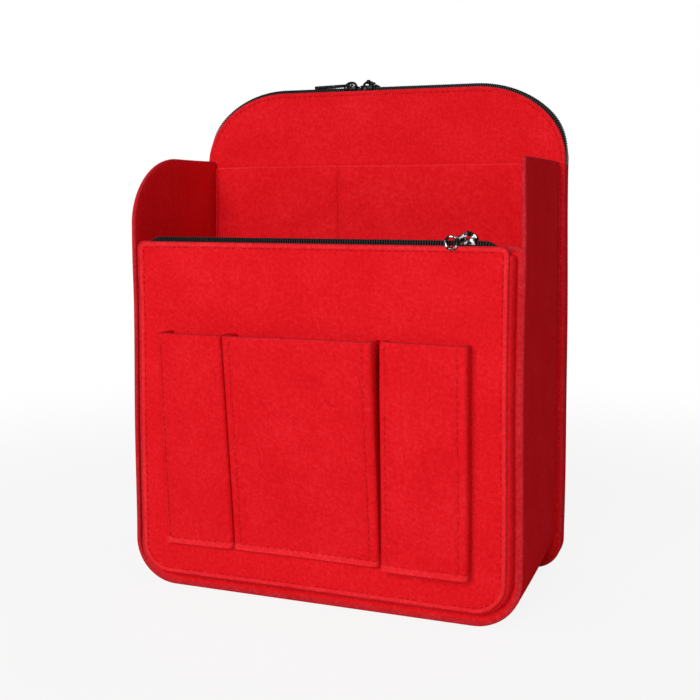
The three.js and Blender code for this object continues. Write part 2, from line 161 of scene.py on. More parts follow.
def needled_felt(name, dark, plain, light):
    material, tree, surface, place = new_material(name)
    fibres = None
    for turn in FIBRE_TURNS:
        lying = add(tree, "ShaderNodeMapping", {"Vector": place, "Rotation": turn,
                    "Scale": (FIBRE_LONG / FIBRE_THICK, 1.0, 1.0)}, vector_type="TEXTURE")
        strands = add(tree, "ShaderNodeTexNoise", {"Vector": lying.outputs["Vector"],
                      "Scale": 1 / FIBRE_THICK / 2, "Detail": 2.0}).outputs["Fac"]
        if fibres is None:
            fibres = strands
        else:
            fibres = add(tree, "ShaderNodeMath", {0: fibres, 1: strands}, operation="MAXIMUM").outputs[0]
    flecks = add(tree, "ShaderNodeTexNoise", {"Vector": place, "Scale": 1 / FLECK / 2, "Detail": 3.0})
    clouds = add(tree, "ShaderNodeTexNoise", {"Vector": place, "Scale": 1 / CLOUD, "Detail": 2.0})
    fibre_tone = add(tree, "ShaderNodeMapRange", {"Value": fibres, "From Min": 0.45, "From Max": 0.8})
    fleck_tone = add(tree, "ShaderNodeMapRange", {"Value": flecks.outputs["Fac"], "From Min": 0.3,
                     "From Max": 0.7})
    cloud_tone = add(tree, "ShaderNodeMapRange", {"Value": clouds.outputs["Fac"], "From Min": 0.3,
                     "From Max": 0.7, "To Min": -0.12, "To Max": 0.12})
    fine = add(tree, "ShaderNodeMix", {"Factor": 0.5, "A": fibre_tone.outputs[0], "B": fleck_tone.outputs[0]})
    tone = add(tree, "ShaderNodeMath", {0: fine.outputs["Result"], 1: cloud_tone.outputs[0]}, operation="ADD")
    ramp = add(tree, "ShaderNodeValToRGB", {"Fac": tone.outputs[0]})
    ramp.color_ramp.elements[0].color = linear(dark)
    ramp.color_ramp.elements[0].position = 0.1
    ramp.color_ramp.elements[1].color = linear(light)
    ramp.color_ramp.elements[1].position = 0.9
    ramp.color_ramp.elements.new(0.5).color = linear(plain)
    relief = add(tree, "ShaderNodeBump", {"Height": fine.outputs["Result"], "Distance": FELT_RELIEF,
                 "Strength": 0.5})
    plug(tree, surface, {"Base Color": ramp.outputs["Color"], "Normal": relief.outputs["Normal"],
                         "Roughness": 0.95, "Specular IOR Level": 0.0, "Sheen Weight": 0.03,
                         "Sheen Roughness": 0.45, "Sheen Tint": linear(SHEEN_RED)})
    return material


red_felt = needled_felt("needled_wool_felt_red", dark="#D4131B", plain="#DF1A22", light="#E8262F")
cut_felt = needled_felt("needled_wool_felt_cut_edge", dark="#B91A22", plain="#C5252D", light="#D2343C")
# The brighter felt is a painted highlight for swollen rims and hems.
highlight_felt = needled_felt("needled_wool_felt_painted_highlight", dark="#DC1E26", plain="#E7282F", light="#F0363E")
FELT_TONES = [red_felt, cut_felt, highlight_felt]
CUT_TONE = 1
HIGHLIGHT_TONE = 2
print("felt:", len(red_felt.node_tree.nodes), "nodes")

# %% [markdown]
# ## Sewing thread, zip tape, zip teeth and plated metal
# The thread is spun polyester in the felt's own red. Its tone changes at random from stitch to stitch: a
# darker red is painted shade for stitches that sink in, and a lighter red is a painted highlight for the few
# that stand up and catch the light. The zip's tape is a black polyester twill with fine slanting ribs, and
# its teeth are moulded acetal, black with a satin skin.
# The sliders and pulls are die-cast zinc with a dark plating. Bright patches at random on it are painted
# glints, many on the front ring and few on the sleeve's sliders.

# %% Make the thread, tape, teeth and metal
STITCH_TONE = 2.6 * MM
TWILL_RIB = 0.7 * MM
TWILL_RELIEF = 0.1 * MM
METAL_GRAIN = 0.35 * MM
METAL_PATCH = 2.2 * MM


def spun_thread(name, sunk_painted_shade, plain, raised_painted_highlight):
    material, tree, surface, place = new_material(name)
    # The darker end of the ramp is painted shade, the lighter end a painted highlight.
    tone = add(tree, "ShaderNodeTexNoise", {"Vector": place, "Scale": 1 / STITCH_TONE, "Detail": 1.0})
    ramp = add(tree, "ShaderNodeValToRGB", {"Fac": tone.outputs["Fac"]})
    ramp.color_ramp.elements[0].color = linear(sunk_painted_shade)
    ramp.color_ramp.elements[0].position = 0.35
    ramp.color_ramp.elements[1].color = linear(raised_painted_highlight)
    ramp.color_ramp.elements[1].position = 0.72
    ramp.color_ramp.elements.new(0.58).color = linear(plain)
    plug(tree, surface, {"Base Color": ramp.outputs["Color"], "Roughness": 0.6, "Specular IOR Level": 0.06})
    return material


def twill_tape(name, colour, shade):
    material, tree, surface, place = new_material(name)
    ribs = add(tree, "ShaderNodeTexWave", {"Vector": place, "Scale": 1 / TWILL_RIB / (2 * math.pi),
               "Distortion": 0.4}, bands_direction="DIAGONAL")
    mix = add(tree, "ShaderNodeMix", {"Factor": ribs.outputs["Fac"], 6: linear(shade), 7: linear(colour)},
              data_type="RGBA")
    relief = add(tree, "ShaderNodeBump", {"Height": ribs.outputs["Fac"], "Distance": TWILL_RELIEF,
                 "Strength": 0.6})
    plug(tree, surface, {"Base Color": mix.outputs[2], "Normal": relief.outputs["Normal"],
                         "Roughness": 0.85, "Specular IOR Level": 0.1})
    return material


def moulded_plastic(name, colour, shade):
    material, tree, surface, place = new_material(name)
    skin = add(tree, "ShaderNodeTexNoise", {"Vector": place, "Scale": 1 / METAL_GRAIN, "Detail": 2.0})
    mix = add(tree, "ShaderNodeMix", {"Factor": skin.outputs["Fac"], 6: linear(shade), 7: linear(colour)},
              data_type="RGBA")
    gloss = add(tree, "ShaderNodeMapRange", {"Value": skin.outputs["Fac"], "To Min": 0.32, "To Max": 0.5})
    plug(tree, surface, {"Base Color": mix.outputs[2], "Roughness": gloss.outputs[0], "IOR": 1.48,
                         "Specular IOR Level": 0.18})
    return material


def plated_zinc(name, colour, glint_painted_highlight, glint_threshold):
    material, tree, surface, place = new_material(name)
    grain = add(tree, "ShaderNodeTexNoise", {"Vector": place, "Scale": 1 / METAL_GRAIN, "Detail": 4.0})
    patch = add(tree, "ShaderNodeTexNoise", {"Vector": place, "Scale": 1 / METAL_PATCH, "Detail": 2.0})
    # Patches past the threshold are painted glints in the bright colour.
    glint_mask = add(tree, "ShaderNodeMapRange", {"Value": patch.outputs["Fac"], "From Min": glint_threshold,
                 "From Max": glint_threshold + 0.12})
    mix = add(tree, "ShaderNodeMix", {"Factor": glint_mask.outputs[0], 6: linear(colour), 7: linear(glint_painted_highlight)},
              data_type="RGBA")
    gloss = add(tree, "ShaderNodeMapRange", {"Value": grain.outputs["Fac"], "To Min": 0.14, "To Max": 0.3})
    plug(tree, surface, {"Base Color": mix.outputs[2], "Roughness": gloss.outputs[0], "Metallic": 1.0,
                         "Specular Tint": linear("#5A585A")})
    return material


red_thread = spun_thread("spun_polyester_thread_red", sunk_painted_shade="#B00E16", plain="#C7141C", raised_painted_highlight="#E2343C")
zip_tape = twill_tape("polyester_twill_tape_black", colour="#171517", shade="#0B0A0B")
zip_teeth = moulded_plastic("moulded_acetal_black", colour="#141314", shade="#0C0B0C")
many_glints_metal = plated_zinc("plated_zinc_many_painted_glints", colour="#1D1C1E", glint_painted_highlight="#B5B2B0", glint_threshold=0.52)
few_glints_metal = plated_zinc("plated_zinc_few_painted_glints", colour="#171618", glint_painted_highlight="#8C8987", glint_threshold=0.62)
print("materials:", [m.name for m in (red_felt, red_thread, zip_tape, zip_teeth, many_glints_metal, few_glints_metal)])

# %% [markdown]
# ## Camera, light and floor
# The camera stands to the right of the front and a little above the middle, as in the photograph. One large
# soft lamp in front and above lights the front, and a pale world fills the shaded side. The background is
# white for the camera and for reflections only, so it adds no light to the felt.

# %% Place the camera
CAMERA_PLACE = (0.2523, -0.6713, 0.2571)
CAMERA_YAW = 20.48
CAMERA_PITCH = 4.24
CAMERA_LENS = 54.63
CAMERA_SHIFT = -0.1

start_clean()
bpy.ops.object.camera_add(location=CAMERA_PLACE,
                          rotation=(math.radians(90 - CAMERA_PITCH), 0, math.radians(CAMERA_YAW)))
camera = bpy.context.object
camera.data.lens = CAMERA_LENS
camera.data.shift_y = CAMERA_SHIFT
bpy.context.scene.camera = camera
bpy.context.scene.view_settings.view_transform = "Standard"
print("camera at", CAMERA_PLACE)

# %% Light the scene and lay the floor
KEY_PLACE = Vector((-0.1, -2.35, 1.0))
KEY_AIM = Vector((0, 0, 0.17))
KEY_WATTS = 46
KEY_SIZE = 1.4
FILL_STRENGTH = 0.33
FLOOR_SIZE = 60
FLOOR_DROP = 0.2 * MM
FLOOR_GLOW = 0.88
GLOW_START = 0.3
GLOW_REACH = 0.9

start_clean()
bpy.ops.object.light_add(type="AREA", location=KEY_PLACE,
                         rotation=(KEY_AIM - KEY_PLACE).to_track_quat("-Z", "Y").to_euler())
key = bpy.context.object
key.data.energy = KEY_WATTS
key.data.size = KEY_SIZE


def seen_directly(tree):
    path = add(tree, "ShaderNodeLightPath")
    shiny = add(tree, "ShaderNodeMath", {0: path.outputs["Is Glossy Ray"],
                1: path.outputs["Is Transmission Ray"]}, operation="MAXIMUM")
    return add(tree, "ShaderNodeMath", {0: path.outputs["Is Camera Ray"], 1: shiny.outputs[0]},
               operation="MAXIMUM").outputs[0]


world = bpy.data.worlds.new("studio")
bpy.context.scene.world = world
world.use_nodes = True
sky = world.node_tree
sky.nodes.clear()
strength = add(sky, "ShaderNodeMapRange", {"Value": seen_directly(sky), "To Min": FILL_STRENGTH,
               "To Max": 1.0})
backdrop = add(sky, "ShaderNodeBackground", {"Color": linear("#FFFFFF"), "Strength": strength.outputs[0]})
add(sky, "ShaderNodeOutputWorld", {"Surface": backdrop.outputs[0]})

bpy.ops.mesh.primitive_plane_add(size=FLOOR_SIZE, location=(0, 0, -FLOOR_DROP))
floor = bpy.context.object
floor.name = "floor"
settle(floor)
paper = bpy.data.materials.new("white_paper_floor")
paper.use_nodes = True
tree = paper.node_tree
tree.nodes.clear()
place = add(tree, "ShaderNodeTexCoord").outputs["Object"]
distance = add(tree, "ShaderNodeVectorMath", {0: place}, operation="LENGTH").outputs["Value"]
glow = add(tree, "ShaderNodeMapRange", {"Value": distance, "From Min": GLOW_START, "From Max": GLOW_REACH,
           "To Min": FLOOR_GLOW, "To Max": 1.0}, interpolation_type="SMOOTHSTEP")
share = add(tree, "ShaderNodeMath", {0: seen_directly(tree), 1: glow.outputs[0]}, operation="MULTIPLY")
matt = add(tree, "ShaderNodeBsdfDiffuse", {"Color": linear("#D2D0CE")})
shine = add(tree, "ShaderNodeEmission", {"Color": linear("#FFFFFF"), "Strength": 1.0})
blend = add(tree, "ShaderNodeMixShader", {0: share.outputs[0], 1: matt.outputs[0], 2: shine.outputs[0]})
add(tree, "ShaderNodeOutputMaterial", {"Surface": blend.outputs[0]})
floor.data.materials.append(paper)
print("floor and light ready")

# %% [markdown]
# ## Cutting a sheet of felt
# Every panel is a sheet with rounded corners. It could be a plane with bevelled corners, but a bevel only
# makes circles, and the tall panel's upper corners are ellipses. So a disc is added instead, and each of
# its four quarters is scaled to its own corner and moved out to its place. The seam where the thread pulls
# the felt in is a narrow ring of faces, made by three insets, and its middle ring goes into a vertex group.
# The rim outside the seam can be given the tone of cut felt, or the brighter felt that paints a highlight on
# a swollen rim. The sheet is thickened and its edge rounded while it has few faces, because a bevel tears
# where cuts cross a rounded corner. The grid that lets the sheet bend is cut last, right through its
# thickness.

# %% Helpers that cut, grid and thicken a sheet
FELT = 3 * MM
ARC_POINTS = 16
GRID_STEP = 9 * MM
SEAM_HALF = 0.7 * MM
SEAM_SQUEEZE = 0.7
MERGE = 0.3 * MM
EDGE_ROUND = 0.9 * MM
CUT_ANGLE = 85
SHADE_ANGLE = 45
CORNER_SIGNS = [(-1, -1), (1, -1), (1, 1), (-1, 1)]


def mark_seam(piece):
    if "seam" not in piece.vertex_groups:
        piece.vertex_groups.new(name="seam")
    bpy.ops.object.vertex_group_assign()


def grid(axis, low, high, step=GRID_STEP):
    count = max(1, round((high - low) / step))
    for i in range(1, count):
        cut_at(axis, low + (high - low) * i / count)


def cut_at(axis, where):
    normal = [float(i == axis) for i in range(3)]
    bpy.ops.mesh.select_all(action="SELECT")
    bpy.ops.mesh.bisect(plane_co=[where * n for n in normal], plane_no=normal)


def grid_sheet(piece, low, high, step=GRID_STEP):
    make_active(piece)
    enter_edit()
    grid(0, low[0], high[0], step)
    grid(2, low[1], high[1])
    leave_edit()
    return piece


def cut_sheet(name, low, high, rounds, seam=None, depth=0.0, rim_tone=0):
    start_clean()
    bpy.ops.mesh.primitive_circle_add(vertices=4 * ARC_POINTS, radius=1, fill_type="NGON",
                                      rotation=(math.pi / 2, math.pi / 4 / ARC_POINTS, 0))
    piece = bpy.context.object
    piece.name = name
    for felt in FELT_TONES:
        piece.data.materials.append(felt)
    settle(piece)
    enter_edit()
    half = (Vector(high) - Vector(low)) / 2
    for (side, level), (wide, tall) in zip(CORNER_SIGNS, rounds):
        pick(piece, lambda co: co.x * side > 0 and co.z * level > 0)
        bpy.ops.transform.resize(value=(wide, 1, tall), center_override=(0, 0, 0))
        bpy.ops.transform.translate(value=(side * (half.x - wide), 0, level * (half.y - tall)))
    if seam:
        bpy.ops.mesh.select_all(action="SELECT")
        piece.active_material_index = rim_tone
        bpy.ops.object.material_slot_assign()
        bpy.ops.mesh.inset(thickness=seam - SEAM_HALF, depth=0, use_boundary=True)
        piece.active_material_index = 0
        bpy.ops.object.material_slot_assign()
        bpy.ops.mesh.inset(thickness=SEAM_HALF, depth=0)
        mark_seam(piece)
        bpy.ops.mesh.inset(thickness=SEAM_HALF, depth=0)
        bpy.ops.mesh.remove_doubles(threshold=MERGE)
    bpy.ops.mesh.select_all(action="SELECT")
    bpy.ops.transform.translate(value=(low[0] + half.x, depth, low[1] + half.y))
    leave_edit()
    return piece


def give_thickness(piece, thick):
    body = piece.modifiers.new("thickness", "SOLIDIFY")
    body.thickness = thick
    body.offset = 0
    return body


def round_edges(piece, width, segments, least_angle):
    rim = piece.modifiers.new("rounded edge", "BEVEL")
    rim.width = width
    rim.segments = segments
    rim.limit_method = "ANGLE"
    rim.angle_limit = math.radians(least_angle)
    return rim


def thicken(piece, thick=FELT, edge_round=EDGE_ROUND, rim_tone=CUT_TONE, round_tone=CUT_TONE,
            squeeze=SEAM_SQUEEZE):
    body = give_thickness(piece, thick)
    body.use_even_offset = True
    body.material_offset_rim = rim_tone
    if "seam" in piece.vertex_groups:
        body.vertex_group = "seam"
        body.invert_vertex_group = True
        body.thickness_vertex_group = squeeze
    rim = round_edges(piece, edge_round, 3, CUT_ANGLE)
    rim.use_clamp_overlap = False
    rim.material = round_tone
    apply_modifiers(piece)
    bpy.ops.object.shade_smooth_by_angle(angle=math.radians(SHADE_ANGLE))
    return piece


# %% [markdown]
# ## Stitching
# A lockstitch shows as a row of short dashes, about 4.2 mm from one to the next. One stitch is a stretched
# ball of a few faces. An Array modifier repeats it over the length of a seam and a Curve modifier lays the
# row along the seam's line. This keeps the rows even round corners, as on a machine.

# %% Helpers that sew a row of stitches along a line
STITCH_PITCH = 4.2 * MM
STITCH_LONG = 3.0 * MM
THREAD_HALF = 0.42 * MM


def line_through(points, twist="MINIMUM"):
    data = bpy.data.curves.new("path", "CURVE")
    data.dimensions = "3D"
    data.twist_mode = twist
    path = data.splines.new("POLY")
    path.points.add(len(points) - 1)
    for point, place in zip(path.points, points):
        point.co = (*place, 1)
    line = bpy.data.objects.new("path", data)
    bpy.context.scene.collection.objects.link(line)
    return line


def lay_along(piece, line):
    bend = piece.modifiers.new("along", "CURVE")
    bend.object = line
    bend.deform_axis = "POS_X"
    apply_modifiers(piece)
    data = line.data
    bpy.data.objects.remove(line)
    bpy.data.curves.remove(data)
    return piece


def repeat_along(piece, line, pitch):
    repeat = piece.modifiers.new("repeat", "ARRAY")
    repeat.fit_type = "FIT_CURVE"
    repeat.curve = line
    repeat.use_relative_offset = False
    repeat.use_constant_offset = True
    repeat.constant_offset_displace = (pitch, 0, 0)
    return lay_along(piece, line)


def sew(points):
    start_clean()
    bpy.ops.mesh.primitive_uv_sphere_add(segments=6, ring_count=4, radius=1, rotation=(0, math.pi / 2, 0))
    row = bpy.context.object
    settle(row)
    enter_edit()
    bpy.ops.transform.resize(value=(STITCH_LONG / 2, THREAD_HALF, THREAD_HALF), center_override=(0, 0, 0))
    bpy.ops.transform.translate(value=(STITCH_PITCH / 2, 0, 0))
    leave_edit()
    return repeat_along(row, line_through(points), STITCH_PITCH)


def join(name, pieces):
    start_clean()
    for piece in pieces:
        piece.select_set(True)
    bpy.context.view_layer.objects.active = pieces[0]
    bpy.ops.object.join()
    whole = bpy.context.object
    whole.name = name
    return whole


def ring(low, high, rounds, inset, depth):
    """Points round a sheet's outline, drawn in from its edge."""
    middle = (Vector(low) + Vector(high)) / 2
    half = (Vector(high) - Vector(low)) / 2
    points = []
    for quarter, ((side, level), (wide, tall)) in enumerate(zip(CORNER_SIGNS, rounds)):
        for i in range(ARC_POINTS + 1):
            angle = math.pi / 2 * (quarter + 2 + i / ARC_POINTS)
            reach_x = max(wide - inset, 0) * math.cos(angle)
            reach_z = max(tall - inset, 0) * math.sin(angle)
            points.append(Vector((
                middle.x + side * (half.x - max(wide, inset)) + reach_x, depth,
                middle.y + level * (half.y - max(tall, inset)) + reach_z)))
    return points + points[:1]


# %% [markdown]
# ## The flat panels
# The front zip panel, the main front panel behind it and the two tall panels of the sleeve are flat sheets.
# Each takes its size and place from its solid, gets a seam a few millimetres inside its edge, and is sewn
# with a row of stitches on both faces. The main panel's row lies further in, behind the front zip panel,
# and only its rim shows. It laps a little over the edge of the right wall and of the base, and at the left
# it leaves the narrow dark line that the photograph shows there. The front zip panel lies a little askew in
# the photograph, so its sheet is cut 1 mm shorter at the left and a little longer at the right and at the
# foot.

# %% Cut and sew the flat panels
PANEL_SEAM = 3.6 * MM
HIDDEN_ROW = 11 * MM
SLEEVE_SEAM = 3.0 * MM
STITCH_SINK = 0.35 * MM
FRONT_ROUND = (20 * MM, 20 * MM)
MAIN_ROUND = (26.7 * MM, 26.7 * MM)
TOP_ROUND = (5 * MM, 5 * MM)
SLEEVE_CORNER = 20 * MM
SLEEVE_ROUNDS = [(SLEEVE_CORNER, SLEEVE_CORNER)] * 2 + [(64 * MM, 52 * MM)] * 2
FRONT_LEFT = 1 * MM
FRONT_RIGHT = 1.3 * MM
FRONT_FOOT = -2 * MM
MAIN_OVERLAP = 2.0 * MM
MAIN_GAP = 1.3 * MM
MAIN_EDGE = 0.5 * MM
FRONT_ROUNDS = [FRONT_ROUND] * 2 + [TOP_ROUND] * 2
MAIN_ROUNDS = [MAIN_ROUND] * 2 + [TOP_ROUND] * 2
# Each panel's corners, how far in its seam and its row of stitches lie, its rim's tone and what it rests on
PANELS = {
    # The front zip panel's rim gets the brighter felt, a painted highlight.
    "front_zip_panel": (FRONT_ROUNDS, PANEL_SEAM, PANEL_SEAM, HIGHLIGHT_TONE, "front_pocket_edge"),
    "main_front_panel": (MAIN_ROUNDS, PANEL_SEAM, HIDDEN_ROW, CUT_TONE, "side_base_gusset"),
    "sleeve_front_panel": (SLEEVE_ROUNDS, SLEEVE_SEAM, SLEEVE_SEAM, 0, "side_base_gusset"),
    "sleeve_rear_panel": (SLEEVE_ROUNDS, SLEEVE_SEAM, SLEEVE_SEAM, 0, "sleeve_edge"),
}
felt_pieces = []
thread_pieces = []


def declare(piece, body, node=None, finish=None):
    if finish:
        piece.data.materials.clear()
        piece.data.materials.append(finish)
    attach(piece, body)
    if node:
        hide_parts(node)


def dress(piece, node, thread=None):
    declare(piece, "organizer", node)
    felt_pieces.append(piece)
    if thread:
        declare(thread, "organizer", finish=red_thread)
        thread_pieces.append(thread)


for node, (rounds, seam, row, rim_tone, seat) in PANELS.items():
    corner_low, corner_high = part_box(node)
    low = (corner_low.x, corner_low.z)
    high = (corner_high.x, corner_high.z)
    edge = EDGE_ROUND
    if node == "front_zip_panel":
        low = (low[0] + FRONT_LEFT, low[1] + FRONT_FOOT)
        high = (high[0] + FRONT_RIGHT, high[1])
    elif node == "main_front_panel":
        low = (low[0] + MAIN_GAP, low[1] - MAIN_OVERLAP)
        high = (high[0] + MAIN_OVERLAP, high[1])
        edge = MAIN_EDGE
    middle = (corner_low.y + corner_high.y) / 2
    panel = cut_sheet(node + "_felt", low, high, rounds, seam, middle, rim_tone)
    grid_sheet(thicken(panel, edge_round=edge), low, high)
    rows = [sew(ring(low, high, rounds, row, middle + side * (FELT / 2 - STITCH_SINK))) for side in (-1, 1)]
    size = (high[0] - low[0], high[1] - low[1])
    stitches = join(node + "_stitches", rows)
    dress(panel, node, stitches)
    print(node, "cut at", [round(1000 * s) for s in size], "mm")

# %% [markdown]
# ## The folded strips
# The side walls and base are one strip of felt that is folded up at both ends, and narrower strips give the
# front pocket and the sleeve their depth. Each is cut flat and thickened, and a Curve modifier bends it
# round a U. The strip's length runs along the curve, and its width becomes the depth of the insert.

# %% Cut, sew and fold the strips
STRIP_CORNER = (2 * MM, 2 * MM)
STRIP_SEAM = 5.0 * MM
POCKET_EDGE_CORNER = 21.2 * MM
POCKET_EDGE_THICK = 4.2 * MM
POCKET_EDGE_ROUND = 1.9 * MM
GUSSET_CORNER = 30 * MM
GUSSET_EDGE = 1.4 * MM
LEFT_WALL_ROUND = (46 * MM, 60 * MM)
RIGHT_WALL_DROP = 4 * MM
STRIP_STEP = 3 * MM
ARC_TURNS = 18


def u_points(half, foot, left_top, right_top, corner):
    points = [(-half, left_top, 0)]
    for centre, start in ((-half + corner, math.pi), (half - corner, 1.5 * math.pi)):
        for i in range(ARC_TURNS + 1):
            angle = start + math.pi / 2 * i / ARC_TURNS
            points.append((centre + corner * math.cos(angle), foot + corner + corner * math.sin(angle), 0))
    return points + [(half, right_top, 0)]


def fold_up(piece, route):
    lay_along(piece, line_through(route, twist="Z_UP"))
    piece.rotation_euler.x = math.pi / 2
    settle(piece)
    return piece


def folded_strip(node, corner, thick, seam=None, front_round=STRIP_CORNER, drop=0.0, edge_round=EDGE_ROUND,
                 tone=CUT_TONE):
    corner_low, corner_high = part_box(node)
    route = u_points(corner_high.x - thick / 2, corner_low.z + thick / 2, corner_high.z,
                     corner_high.z - drop, corner - thick / 2)
    length = sum((Vector(b) - Vector(a)).length for a, b in zip(route, route[1:]))
    low, high = (0, -corner_high.y), (length, -corner_low.y)
    rounds = [STRIP_CORNER, STRIP_CORNER, STRIP_CORNER, front_round]
    strip = thicken(cut_sheet(node + "_felt", low, high, rounds), thick, edge_round, tone, tone)
    fold_up(grid_sheet(strip, low, high, STRIP_STEP), route)
    rows = []
    if seam:
        rows = [fold_up(sew(ring(low, high, rounds, seam, side * (thick / 2 - STITCH_SINK))), route)
                for side in (-1, 1)]
    stitches = join(node + "_stitches", rows) if rows else None
    dress(strip, node, stitches)
    print(node, "is a strip", round(1000 * length), "mm long")
    return strip, stitches, (length, high[1] - low[1]), rounds


edge_strip = folded_strip("front_pocket_edge", POCKET_EDGE_CORNER, POCKET_EDGE_THICK,
                          edge_round=POCKET_EDGE_ROUND, tone=0)[0]
folded_strip("sleeve_edge", SLEEVE_CORNER, FELT)
gusset, stitches, size, rounds = folded_strip("side_base_gusset", GUSSET_CORNER, FELT, STRIP_SEAM,
                                              LEFT_WALL_ROUND, RIGHT_WALL_DROP, GUSSET_EDGE)

# %% [markdown]
# The narrow strip of the front pocket follows the front zip panel's askew outline, and shows as a small
# step at the right and at the foot. At the right it slopes outward to the back, and its edges lap a little
# into the panels in front and behind, so that the layers meet in soft steps and not in dark slits.

# %% Fit the front pocket's strip to its panel
STEP_RIGHT = 1.9 * MM
STEP_FOOT = 2.6 * MM
STEP_FADE = 60 * MM
STEP_FLARE = 2.2 * MM
STEP_LAP = 1.5 * MM


def smooth(share):
    share = min(max(share, 0), 1)
    return share * share * (3 - 2 * share)


strip_low, strip_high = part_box("front_pocket_edge")
for corner in edge_strip.data.vertices:
    behind = (corner.co.y - strip_low.y) / (strip_high.y - strip_low.y)
    if corner.co.x < 0:
        corner.co.x *= 1 + FRONT_LEFT / strip_low.x
    else:
        corner.co.x *= 1 + (STEP_RIGHT + STEP_FLARE * behind) / strip_high.x
    corner.co.y += STEP_LAP * (2 * behind - 1)
    corner.co.z -= STEP_FOOT * (1 - smooth((corner.co.z - strip_low.z) / STEP_FADE))
print("front pocket strip moved by up to", round(1000 * (STEP_RIGHT + STEP_FLARE), 1), "mm")

# %% [markdown]
# ## The outer pockets
# Each pocket is one piece of felt folded back at both sides and at its foot. A box is the nearest start: its
# back and top are deleted, its foot is pushed in so that the front slopes, and the three folds are rounded by
# a bevel. The rows of stitches stand a few millimetres inside the folds. The felt below the lowest row flares
# out a little and gets the brighter felt tone as a painted highlight. The left pocket is a little wider at
# its foot than at its mouth, so it is spread at the end.

# %% Fold and sew the outer pockets
FOLD_ROUND = 1.3 * MM
POCKET_HEM = 3.8 * MM
HEM_FLARE = 0.8 * MM
HEM_SQUEEZE = 0.66
ROW_END = 3 * MM
SAME_PLACE = 0.02 * MM
# How far each foot stands out, how far its rows stand in from the left and right folds (the left pocket has
# no row at its right), how far the soft folds bulge past the solid there, and the foot's spread to the left
POCKETS = {
    "outer_pocket_left": (3.2 * MM, (3.3 * MM, None), (0, 0.9 * MM), 3.2 * MM),
    "outer_pocket_middle": (3.2 * MM, (5.2 * MM, 6.0 * MM), (0.9 * MM, 0), 0),
    "outer_pocket_right": (8.0 * MM, (3.6 * MM, 6.0 * MM), (0, 0), 0),
}


def near(value, goal):
    return abs(value - goal) < SAME_PLACE


def folded_pocket(node, foot, row_insets, bulge, spread):
    corner_low, corner_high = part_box(node)
    corner_low.x -= bulge[0]
    corner_high.x += bulge[1]
    low = corner_low + Vector((FELT, FELT, FELT)) / 2
    high = corner_high - Vector((FELT / 2, 0, 0))
    mouth = corner_high.y - corner_low.y
    start_clean()
    bpy.ops.mesh.primitive_cube_add(size=1, location=(low + high) / 2, scale=high - low)
    piece = bpy.context.object
    piece.name = node + "_felt"
    for felt in FELT_TONES:
        piece.data.materials.append(felt)
    settle(piece)
    enter_edit()
    pick(piece, lambda co: near(co.y, high.y))
    bpy.ops.mesh.delete(type="ONLY_FACE")
    pick(piece, lambda co: near(co.z, high.z))
    bpy.ops.mesh.delete(type="ONLY_FACE")
    pick(piece, lambda co: near(co.z, low.z) and near(co.y, low.y))
    bpy.ops.transform.translate(value=(0, mouth - foot, 0))
    for side in (low.x, high.x):
        pick(piece, lambda co: co.y < high.y - FELT / 4 and near(co.x, side))
        bpy.ops.mesh.bevel(offset=FOLD_ROUND, segments=4, affect="EDGES")
    sides = [corner_low.x + row_insets[0]]
    if row_insets[1]:
        sides.append(corner_high.x - row_insets[1])
    hem = corner_low.z + POCKET_HEM
    for axis, lines in ((0, sides), (2, [hem])):
        for line in lines:
            for shift in (-SEAM_HALF, 0, SEAM_HALF):
                cut_at(axis, line + shift)
    grid(0, low.x, high.x)
    grid(2, low.z, high.z)
    pick(piece, lambda co: co.y < high.y - foot / 3 and co.z > hem - SEAM_HALF / 2 and (
        near(co.z, hem) or any(near(co.x, side) for side in sides)))
    mark_seam(piece)
    pick(piece, lambda co: near(co.z, low.z) and co.y < high.y - foot / 3)
    bpy.ops.transform.translate(value=(0, -HEM_FLARE, 0))
    leave_edit()
    thicken(piece, round_tone=-1, squeeze=HEM_SQUEEZE)
    # Below the hem the felt gets the brighter tone, a painted highlight.
    for face in piece.data.polygons:
        if face.center.z < hem:
            face.material_index = HIGHLIGHT_TONE
    slope = (mouth - foot) / (corner_high.z - corner_low.z)

    def on_front(x, z):
        return Vector((x, corner_high.y - foot - slope * (z - corner_low.z) + STITCH_SINK, z))

    rows = [sew([on_front(x, hem), on_front(x, corner_high.z - ROW_END)]) for x in sides]
    rows.append(sew([on_front(sides[0], hem), on_front(high.x - FOLD_ROUND, hem)]))
    stitches = join(node + "_stitches", rows)
    for corner in list(piece.data.vertices) + list(stitches.data.vertices):
        across = (corner_high.x - corner.co.x) / (corner_high.x - corner_low.x)
        down = (corner_high.z - corner.co.z) / (corner_high.z - corner_low.z)
        corner.co.x -= spread * across * down
    dress(piece, node, stitches)


for node, measures in POCKETS.items():
    folded_pocket(node, *measures)

# %% [markdown]
# ## The inner slip panel
# The slip panel stands in front of the tall panel and is sewn to it at both sides, at its foot and along
# one divider, so that it makes two pockets. A thick flat sheet is cut, and the corners near each edge are
# pressed back until the felt touches the panel behind. At the divider a narrow rib of felt fills the space,
# so that from the front only a shallow groove and its row of stitches show.

# %% Cut, press and sew the slip panel
DIVIDER = -25.7 * MM
PRESS_REACH = 7 * MM
DIVIDER_REACH = 1.4 * MM
DIVIDER_PRESS = 2.2 * MM

corner_low, corner_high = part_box("inner_slip_panel")
low = (corner_low.x, corner_low.z)
high = (corner_high.x, corner_high.z)
face = corner_low.y + FELT / 2
press = corner_high.y - corner_low.y - FELT
slip_rounds = [STRIP_CORNER] * 4
slip = cut_sheet("inner_slip_panel_felt", low, high, slip_rounds, depth=face)
